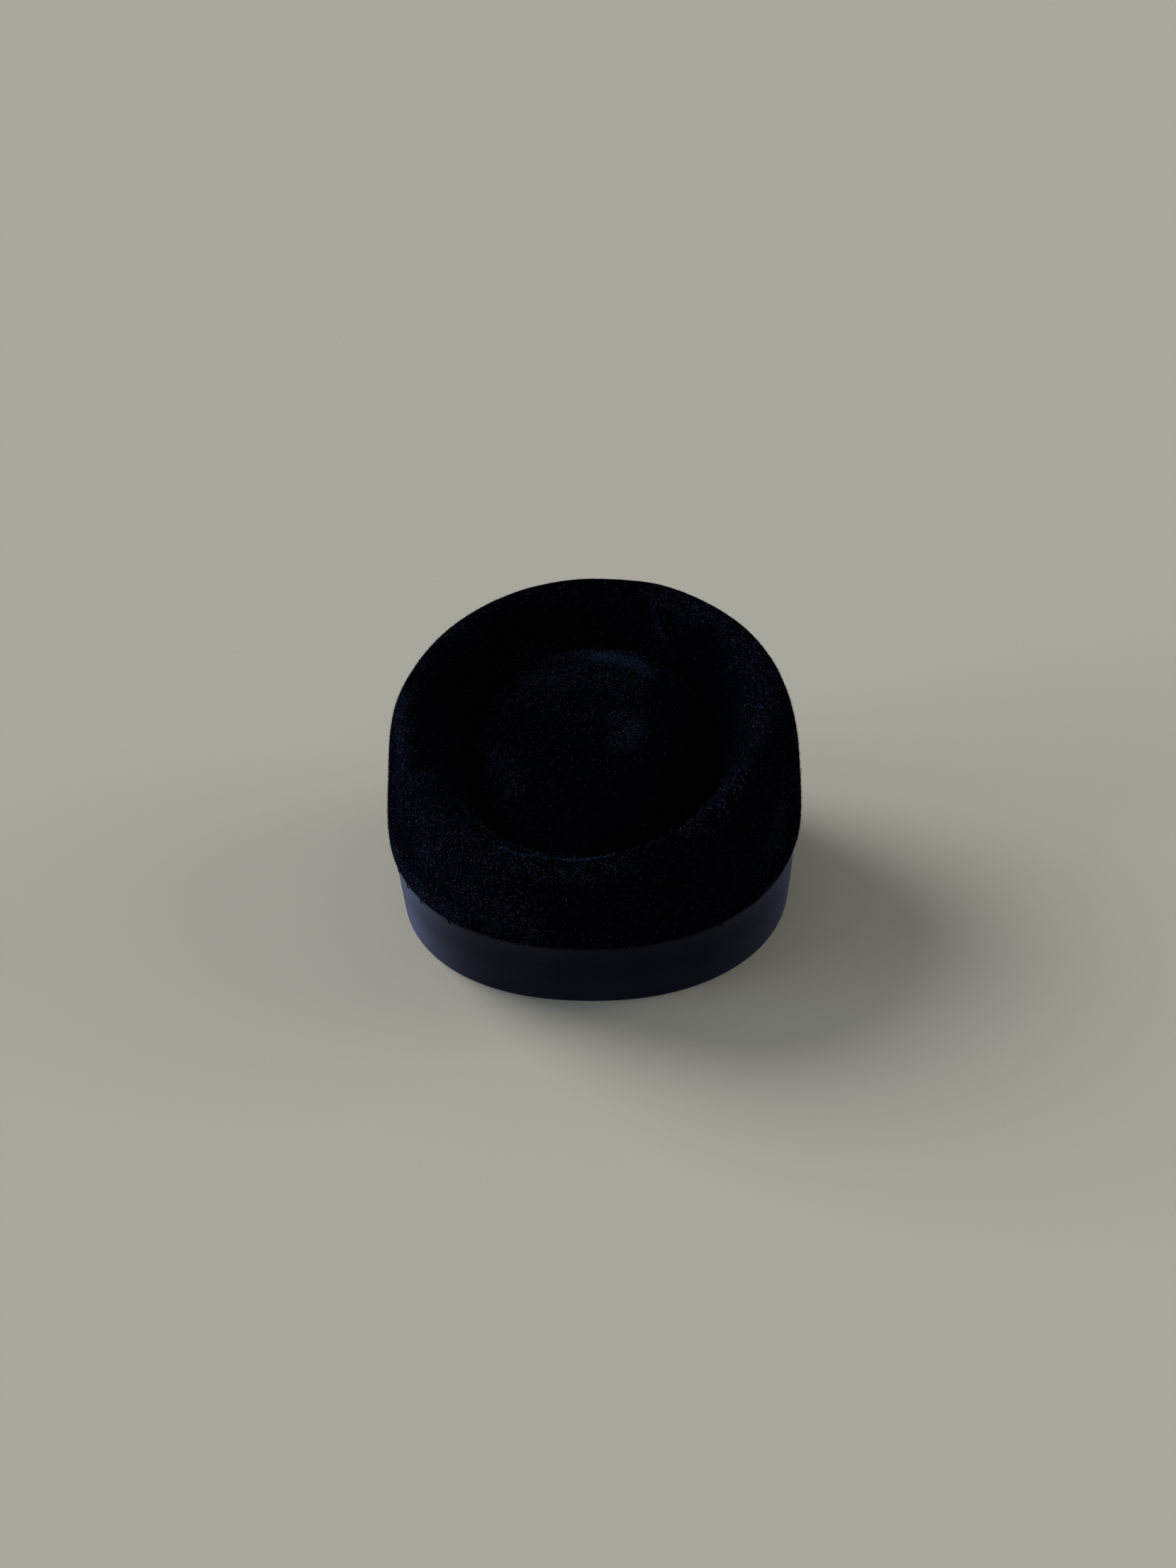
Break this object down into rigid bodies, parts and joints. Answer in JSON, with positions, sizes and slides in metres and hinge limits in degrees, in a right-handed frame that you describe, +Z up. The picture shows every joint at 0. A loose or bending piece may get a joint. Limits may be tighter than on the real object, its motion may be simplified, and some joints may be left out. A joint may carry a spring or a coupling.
{
  "type": "half hat",
  "caption": "Small oval felt hat with a telescoped top, a rounded ridge round a domed tip, and a smooth leather band round its lower wall.",
  "frame": {"origin": "middle of the hat's footprint, on the surface that its rim rests on", "axes": "+Z up, -Y to the front of the hat, +X to the right side as seen from the front; the rim lies in z = 0"},
  "size_m": [0.178, 0.1942, 0.1089],
  "materials": {
    "felt": "velour fur felt, very dark blue-black, matt with a soft sheen at grazing angles",
    "leather": "smooth close-grained leather, blue-black, satin"
  },
  "bodies": {
    "root": {"crown": "felt", "band": "leather"}
  },
  "joints": []
}
